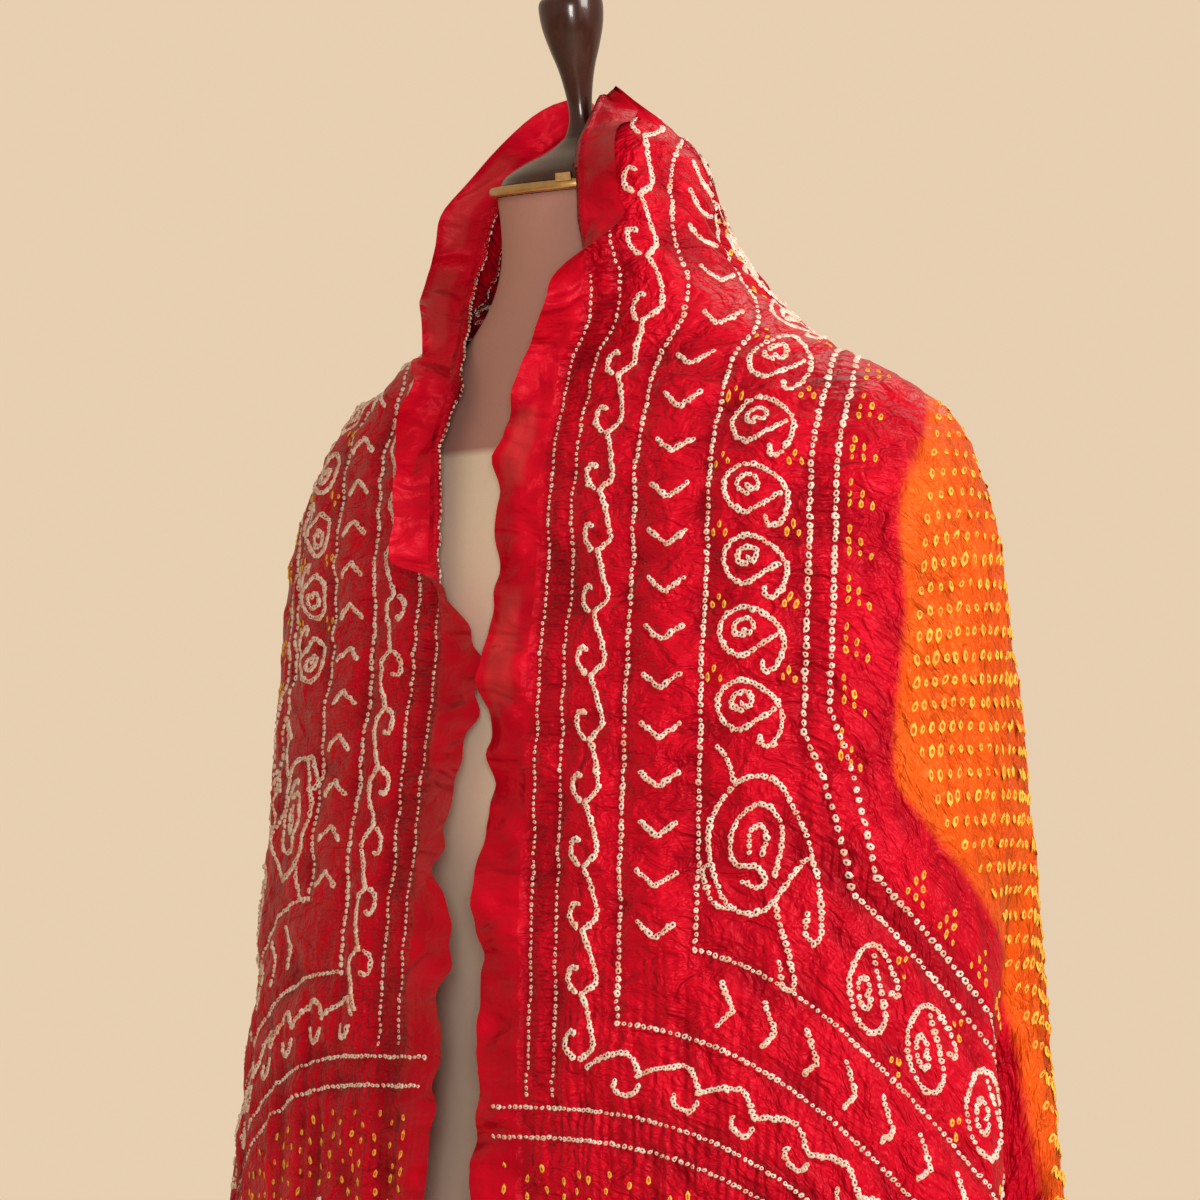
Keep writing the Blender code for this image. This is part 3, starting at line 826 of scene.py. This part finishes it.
def cloth_material():
    n = Nodes("tied_silk")
    flat = n.read("flat", "Vector")
    field = n.read("field")
    gather = n.read("gather")
    end_gather = n.read("end_gather")
    plain = n.read("plain")
    cloudy = n.noise(n.stretch(flat, (1.0, 1.0, 1.0)), 28.0, 3.0, 0.6)
    red = n.mix(cloudy, (0.46, 0.0010, 0.0120), (0.68, 0.0030, 0.0220))
    red = n.mix(n.read("bright"), red, (0.80, 0.0060, 0.0240))
    red = n.mix(n.math("MULTIPLY", n.read("sheer"), 0.30), red, (0.55, 0.085, 0.075))
    orange = n.mix(cloudy, (0.85, 0.078, 0.006), (0.98, 0.140, 0.013))
    streak = n.noise(n.stretch(flat, (1.0, 2.4, 1.0)), 60.0, 3.0, 0.6)
    edge = n.math("MULTIPLY_ADD", n.math("SUBTRACT", streak, 0.5), 0.55, field)
    colour = n.mix(n.fit(edge, 0.15, 0.85), red, orange)
    # painted shade: the silk's colour is darkened down to 0.55 where the pucker height is low, in the
    # valleys
    painted_valley_shade = n.fit(n.read("pucker_for_painted_shade"), -1.0, 0.3, 0.55, 1.0)
    grey = n.add("ShaderNodeCombineColor")
    for socket in grey.inputs[:3]:
        n.put(painted_valley_shade, socket)
    colour_with_painted_shade = n.add("ShaderNodeMix", data_type="RGBA", blend_type="MULTIPLY")
    for value, socket in ((1.0, 0), (colour, 6), (grey.outputs[0], 7)):
        n.put(value, colour_with_painted_shade.inputs[socket])
    glint = n.mix(field, (1.0, 0.10, 0.14), (1.0, 0.42, 0.12))
    n.set(Base_Color=colour_with_painted_shade.outputs[2], Roughness=n.fit(cloudy, 0.3, 0.7, 0.30, 0.42),
          Specular_IOR_Level=0.55, Specular_Tint=glint, Sheen_Weight=0.02, Sheen_Roughness=0.3,
          Sheen_Tint=(1.0, 0.25, 0.22))
    split = n.add("ShaderNodeSeparateXYZ")
    n.put(flat, split.inputs[0])
    s, u = split.outputs[0], split.outputs[1]
    drift = n.noise(n.stretch(flat, (0.6, 1.0, 1.0)), 60.0, 2.0)
    along_drift = n.math("MULTIPLY", drift, 9.0)
    along_waves = n.math("SINE", n.math("MULTIPLY_ADD", s, math.tau / 0.0046, along_drift))
    across_drift = n.math("MULTIPLY", drift, 10.0)
    across_waves = n.math("SINE", n.math("MULTIPLY_ADD", u, math.tau / 0.0062, across_drift))
    crumple = n.noise(n.stretch(flat, (1.0, 0.62, 1.0)), 74.0, 3.0, 0.55, 0.8)
    creased = n.math("ABSOLUTE", n.math("SUBTRACT", n.noise(flat, 74.0, 2.0, 0.5, 1.2), 0.5))
    wrinkle = n.noise(n.stretch(flat, (1.0, 0.28, 1.0)), 165.0, 2.0, 0.55, 0.5)
    wrinkle = n.math("ABSOLUTE", n.math("SUBTRACT", wrinkle, 0.5))
    soft = n.noise(n.stretch(flat, (1.0, 0.45, 1.0)), 42.0, 2.0, 0.4, 0.8)
    threads = n.noise(flat, 1500.0, 1.0)
    tied = n.math("SUBTRACT", 1.0, plain)
    height = n.math("MULTIPLY_ADD", crumple, 2.3, n.math("MULTIPLY", wrinkle, 0.85))
    height = n.math("MULTIPLY_ADD", creased, 0.7, height)
    height = n.math("MULTIPLY_ADD", n.math("MULTIPLY", along_waves, gather), 0.14, height)
    height = n.math("MULTIPLY_ADD", n.math("MULTIPLY", across_waves, end_gather), 0.15, height)
    height = n.math("MULTIPLY", height, n.fit(tied, 0.0, 1.0, 0.18, 1.0))
    height = n.math("MULTIPLY_ADD", n.math("MULTIPLY", soft, plain), 3.2, height)
    height = n.math("MULTIPLY_ADD", threads, 0.02, height)
    n.bump(height, 0.0042, 1.0)
    return n.mat


def knot_material(name, pale, deep, hole):
    n = Nodes(name)
    tone = n.read("tone")
    tint = n.read("tint")
    rim = n.mix(tint, pale, deep)
    # the knot's pit (tone 0) takes the hole colour: on the white knots a dark red that is partly the
    # red-dyed tip and partly painted shade in the pit, on the yellow knots the red-dyed tip
    n.set(Base_Color=n.mix(n.fit(tone, 0.05, 0.55), hole, rim), Roughness=0.62, Specular_IOR_Level=0.3)
    n.bump(n.noise(n.coords(), 1800.0, 2.0), 0.0004, 0.6)
    return n.mat


def form_material():
    n = Nodes("jersey_cover")
    skin = n.read("skin")
    place = n.coords()
    cloudy = n.noise(place, 14.0, 3.0, 0.6)
    nude = n.mix(cloudy, (0.46, 0.240, 0.205), (0.53, 0.290, 0.245))
    cream = n.mix(cloudy, (0.86, 0.74, 0.58), (0.92, 0.81, 0.65))
    n.set(Base_Color=n.mix(skin, cream, nude), Roughness=0.85, Specular_IOR_Level=0.2,
          Sheen_Weight=0.05, Sheen_Roughness=0.5)
    knit = n.noise(n.stretch(place, (1.0, 1.0, 0.45)), 1500.0, 2.0)
    n.bump(knit, 0.0005, 0.5)
    return n.mat


def wood_material():
    n = Nodes("dark_turned_wood")
    place = n.coords()
    grain = n.noise(n.stretch(place, (1.0, 1.0, 0.12)), 160.0, 5.0, 0.6, 1.2)
    slow = n.noise(n.stretch(place, (1.0, 1.0, 0.3)), 24.0, 2.0)
    colour = n.mix(n.fit(grain, 0.35, 0.68), (0.0150, 0.0030, 0.0030), (0.0500, 0.0080, 0.0070))
    colour = n.mix(n.math("MULTIPLY", slow, 0.35), colour, (0.075, 0.013, 0.011))
    n.set(Base_Color=colour, Roughness=n.fit(grain, 0.3, 0.7, 0.20, 0.30),
          Coat_Weight=0.5, Coat_Roughness=0.08)
    n.bump(grain, 0.0003, 0.25)
    return n.mat


def brass_material():
    n = Nodes("aged_brass")
    place = n.coords()
    worn = n.noise(place, 120.0, 4.0, 0.6)
    n.set(Base_Color=n.mix(worn, (0.52, 0.30, 0.10), (0.86, 0.62, 0.30)), Metallic=1.0,
          Roughness=n.fit(worn, 0.3, 0.7, 0.20, 0.38))
    n.bump(worn, 0.0002, 0.3)
    return n.mat


def floor_material():
    n = Nodes("pale_floor")
    n.set(Base_Color=(0.72, 0.58, 0.44), Roughness=0.9, Specular_IOR_Level=0.1)
    return n.mat


silk = cloth_material()
# the white knots' dark red hole colour is partly the red-dyed tip and partly painted shade in the knot's
# pit
white_knot = knot_material("tied_white", (0.88, 0.76, 0.66), (0.80, 0.46, 0.34), (0.16, 0.010, 0.010))
yellow_knot = knot_material("tied_yellow", (0.84, 0.54, 0.060), (0.76, 0.38, 0.030), (0.66, 0.085, 0.010))
jersey = form_material()
wood = wood_material()
brass = brass_material()

# ------------------------------------------------------------------ the cloth

shawl = mesh_object("shawl", CLOTH, grid_faces(*SS.shape), silk)
attribute(shawl, "flat", "FLOAT_VECTOR", np.stack([SS, UU, 0.0 * SS], axis=-1))
wander = 0.006 * bumps(SS / 0.05, UU / 0.05, 31)
corner_in = (EDGE + PANEL - abs(SS)) / 1.41 - 0.252 * 1.41 - 0.006
attribute(shawl, "field", "FLOAT", ease(np.minimum(RING - FIELD_IN, corner_in) + wander, -0.005, 0.006))
long_first = EDGE < PANEL - abs(SS)
lines = bell(RING, 0.042, 0.009) + bell(RING, 0.205, 0.008)
attribute(shawl, "gather", "FLOAT", np.where(long_first, lines, 0.0) * (abs(SS) < PANEL - 0.03))
ends = np.where(long_first, 0.0, lines) + 0.5 * ease(abs(SS), PANEL - 0.19, PANEL - 0.07)
attribute(shawl, "end_gather", "FLOAT", np.clip(ends, 0.0, 1.0))
attribute(shawl, "plain", "FLOAT", 1.0 - ease(EDGE, 0.026, 0.033))
# thin patches of the edge band: place along, half length
sheer = np.zeros_like(SS)
for middle, reach in ((-0.130, 0.020), (-0.192, 0.026), (0.345, 0.020), (0.46, 0.030)):
    strip = ease(UU, 0.004, 0.006) * (1.0 - ease(UU, 0.018, 0.021))
    sheer += strip * (1.0 - ease(abs(SS + OFF_CENTRE - middle), reach, reach + 0.004))
attribute(shawl, "sheer", "FLOAT", np.clip(sheer, 0.0, 1.0))
# the pucker height, which the silk's colour reads for painted shade in the pucker valleys
attribute(shawl, "pucker_for_painted_shade", "FLOAT", np.clip(PUCKER / 0.0025, -1.0, 1.0))
bright = ease(abs(SS), PANEL - 0.025, PANEL + 0.01) * ease(EDGE, 0.10, 0.15)
attribute(shawl, "bright", "FLOAT", bright * 0.8)
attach(shawl, "root")
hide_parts("cloth")


def knots(name, rows, mat, seed, stretch, lift_share, loose, hole):
    """Raised tied rings at flat places, joined into one mesh.

    stretch and lift_share shape each ring, loose is how far it turns at random (radians),
    and hole is the range of its opening.
    """
    rng = np.random.default_rng(seed)
    count = len(rows)
    s, u, turn, size = rows.T
    s = s + rng.normal(0.0, 0.00022, count)
    u = u + rng.normal(0.0, 0.00022, count)
    place, normal, ahead = on_cloth(s, u)
    normal = unit(normal + rng.normal(0.0, 0.16, (count, 3)))
    aside = unit(np.cross(normal, ahead))
    ahead = np.cross(aside, normal)
    angle = turn + rng.normal(0.0, loose, count)
    pinch = rng.uniform(*hole, count)
    size = size * rng.uniform(0.78, 1.18, count)
    long = size * rng.uniform(0.95, 1.30, count) * stretch
    wide = size * rng.uniform(0.82, 1.05, count)
    e1 = ahead * np.cos(angle)[:, None] + aside * np.sin(angle)[:, None]
    e2 = np.cross(normal, e1)
    step = math.tau * np.arange(KNOT_SIDES) / KNOT_SIDES
    levels = (
        # reach, height, tone
        (1.0, -0.20, 0.62),
        (0.64, 0.72, 1.0),
        (0.30, 0.34, 0.0),
    )
    verts = []
    tones = []
    wobble = rng.uniform(0.80, 1.20, (count, KNOT_SIDES))
    for reach, lift, tone in levels:
        spread = reach if tone > 0.0 else (reach * pinch)[:, None]
        c = np.cos(step)[None, :] * long[:, None] * spread * wobble
        w = np.sin(step)[None, :] * wide[:, None] * spread * wobble
        ring = place[:, None] + e1[:, None] * c[..., None] + e2[:, None] * w[..., None]
        verts.append(ring + normal[:, None] * (size * lift * lift_share)[:, None, None])
        tones.append(np.full((count, KNOT_SIDES), tone))
    verts = np.stack(verts, axis=1).reshape(count, -1, 3)
    tones = np.stack(tones, axis=1).reshape(count, -1)
    centre = place + normal * (size * 0.05)[:, None]
    verts = np.concatenate([verts, centre[:, None]], axis=1)
    tones = np.concatenate([tones, np.zeros((count, 1))], axis=1)
    per = verts.shape[1]
    tris = []
    for ring in range(2):
        for i in range(KNOT_SIDES):
            j = (i + 1) % KNOT_SIDES
            low, high = ring * KNOT_SIDES, (ring + 1) * KNOT_SIDES
            tris += [(low + i, low + j, high + j), (low + i, high + j, high + i)]
    for i in range(KNOT_SIDES):
        tris.append((2 * KNOT_SIDES + i, 2 * KNOT_SIDES + (i + 1) % KNOT_SIDES, 3 * KNOT_SIDES))
    faces = (np.array(tris)[None] + (np.arange(count) * per)[:, None, None]).reshape(-1, 3)
    made = mesh_object(name, verts, faces, mat)
    attribute(made, "tone", "FLOAT", tones)
    attribute(made, "tint", "FLOAT", np.repeat(rng.uniform(0.0, 1.0, count) ** 2, per))
    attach(made, "root")
    return made


TIES = (
    # name, pattern, material, seed, stretch, lift share, loose, hole
    ("white_knots", white, white_knot, 100, 1.05, 0.85, 0.5, (0.15, 1.0)),
    ("yellow_knots", yellow, yellow_knot, 200, 1.6, 0.5, 0.15, (0.9, 1.5)),
)
for name, tied, mat, seed, *shape in TIES:
    rows = tied.all()
    order = np.argsort(rows[:, 0], kind="stable")
    for part, chunk in enumerate(np.array_split(order, math.ceil(len(order) / KNOTS_A_PIECE))):
        knots("%s_%d" % (name, part + 1), rows[chunk], mat, seed + part, *shape)

# ------------------------------------------------------------------ the dress form

form_table = Table(FORM)
rows = np.linspace(0.0, -0.7247, 150)
around = 96
a = math.tau * np.arange(around) / around
half, front, back, middle, lean = form_table(rows, 1, 2, 3, 4, 5)
under = ease(NECKLINE - rows, -0.0012, 0.0012)
verts = []
for i, dz in enumerate(rows):
    depth = np.where(np.cos(a) > 0.0, front[i], back[i])
    thick = 0.0008 * under[i]
    x = (half[i] - 0.0012 + thick) * np.sin(a)
    y = middle[i] - (depth - 0.0012 + thick) * np.cos(a)
    turn = np.array(Matrix.Rotation(NECK_LEAN * float(lean[i]), 3, "X"))
    ring = np.stack([x, y, 0.0 * x], axis=-1) + np.array([0.0, 0.0, dz])
    verts.append(ring @ turn.T + np.array([0.0, NECK_Y, RING_Z]))
verts = np.array(verts)
top = verts[0].mean(axis=0)
bottom = verts[-1].mean(axis=0)
shrink = np.array([0.97, 0.6, 0.02])
caps_top = [top + (verts[0] - top) * k for k in shrink[::-1]]
caps_bottom = [bottom + (verts[-1] - bottom) * k for k in shrink]
shell = np.concatenate([np.array(caps_top), verts, np.array(caps_bottom)])
form = mesh_object("form_cover", shell, grid_faces(len(shell), around, wrap=True)[:, ::-1], jersey)
skin = np.concatenate([np.ones(3), 1.0 - under, np.zeros(3)])
attribute(form, "skin", "FLOAT", np.repeat(skin, around))
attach(form, "root")
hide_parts("dress_form")


def turned(name, profile, steps, mat):
    """A smooth turned piece from (radius, height) points, leaned with the neck."""
    p = np.array(profile, float)
    turn = np.array(Matrix.Rotation(NECK_LEAN, 3, "X"))
    t = math.tau * np.arange(steps) / steps
    ring = np.stack([p[:, :1] * np.cos(t), p[:, :1] * np.sin(t), p[:, 1:2] + 0.0 * t], axis=-1)
    made = mesh_object(name, ring @ turn.T + np.array([0.0, NECK_Y, RING_Z]),
                       grid_faces(len(p), steps, wrap=True)[:, ::-1], mat)
    return made


smooth_profile = rounded(np.array(FINIAL_PROFILE)[:, :2], 6)
smooth_profile[:, 0] = np.maximum(smooth_profile[:, 0], 0.00004)
radius, height = smooth_profile.T
groove = 0.0009 * bell(height, 0.1087, 0.0009) + 0.0006 * bell(height, 0.0300, 0.0008)
smooth_profile[:, 0] = np.maximum(radius - groove * (radius > 0.003), 0.00004)
under_cap = [(0.0480, 0.0063), (0.0455, 0.0062), (0.0455, 0.0004), (0.00004, 0.0004)]
finial = turned("turned_finial", list(map(tuple, smooth_profile)) + under_cap, 96, wood)
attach(finial, "root")
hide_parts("finial")

band = [(0.0462, 0.0058), (0.0530, 0.0060), (0.0545, 0.0056), (0.0552, 0.0044), (0.0553, 0.0030),
        (0.0552, 0.0018), (0.0545, 0.0007), (0.0530, 0.0003), (0.0462, 0.0005), (0.0462, 0.0058)]
ring = turned("brass_ring", band, 96, brass)
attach(ring, "root")
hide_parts("neck_ring")

# small brass lug standing on the ring's front edge
lug_at = math.radians(26.0)
lug_turn = np.array(Matrix.Rotation(NECK_LEAN, 3, "X")) @ np.array(Matrix.Rotation(lug_at, 3, "Z"))
lug_z, lug_y, lug_x = (0.0050, 0.0095), (-0.0560, -0.0505), (-0.0045, 0.0045)
corners = np.array([(x, y, z) for z in lug_z for y in lug_y for x in lug_x])
corners[4:, :2] = corners[4:, :2] * 0.92 + np.array([0.0, -0.0043])
lug_faces = np.array([(0, 2, 3, 1), (4, 5, 7, 6), (0, 1, 5, 4), (1, 3, 7, 5), (3, 2, 6, 7), (2, 0, 4, 6)])
lug_place = np.array([0.0, NECK_Y, RING_Z])
lug = mesh_object("ring_lug", corners @ lug_turn.T + lug_place, lug_faces, brass, False)
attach(lug, "root")

for node in ("pole", "foot"):
    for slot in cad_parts[node].material_slots:
        slot.material = wood

# ------------------------------------------------------------------ floor, light, camera

t = math.tau * np.arange(96) / 96
radii = (0.001, 0.5, 1.5, 3.5, 7.0)
rings = [np.stack([r * np.cos(t), r * np.sin(t), 0.0 * t - 0.0004], axis=-1) for r in radii]
floor = mesh_object("floor", np.array(rings), grid_faces(5, 96, wrap=True), floor_material())


def light(name, azimuth, height, distance, size, power, colour):
    data = bpy.data.lights.new(name, "AREA")
    data.shape = "RECTANGLE"
    data.size = size[0]
    data.size_y = size[1]
    data.energy = power
    data.color = colour
    lamp = bpy.data.objects.new(name, data)
    bpy.context.scene.collection.objects.link(lamp)
    a = math.radians(azimuth)
    lamp.location = (distance * math.sin(a), -distance * math.cos(a), height)
    target = Vector((0.0, 0.0, 1.15))
    lamp.rotation_euler = (target - lamp.location).to_track_quat("-Z", "Y").to_euler()


light("key", 88.0, 2.2, 2.2, (1.0, 1.4), 46.0, (1.0, 0.96, 0.92))
light("fill", 39.0, 1.2, 2.6, (0.5, 0.7), 23.0, (1.0, 0.95, 0.90))
light("top", 190.0, 3.0, 1.4, (1.6, 1.2), 9.0, (1.0, 0.95, 0.90))
bpy.context.scene.view_settings.view_transform = "Standard"
world = bpy.data.worlds.new("studio") if not bpy.data.worlds else bpy.data.worlds[0]
bpy.context.scene.world = world
world.use_nodes = True
for node in world.node_tree.nodes:
    if node.type == "BACKGROUND":
        node.inputs[0].default_value = (0.80, 0.62, 0.44, 1.0)
        rays = world.node_tree.nodes.new("ShaderNodeLightPath")
        seen = world.node_tree.nodes.new("ShaderNodeMapRange")
        seen.inputs[3].default_value = 0.56
        seen.inputs[4].default_value = 1.0
        world.node_tree.links.new(rays.outputs["Is Camera Ray"], seen.inputs[0])
        world.node_tree.links.new(seen.outputs[0], node.inputs[1])

DISTANCE = 3.0
facing = math.radians(40.0)
eye_height = RING_Z - 0.4233
data = bpy.data.cameras.new("camera")
data.sensor_width = 36.0
data.lens = 162.0
camera = bpy.data.objects.new("camera", data)
bpy.context.scene.collection.objects.link(camera)
camera.location = (DISTANCE * math.sin(facing), NECK_Y - DISTANCE * math.cos(facing), eye_height)
camera.rotation_euler = (math.radians(90.0 + 3.69), 0.0, facing - math.radians(0.127))
bpy.context.scene.camera = camera
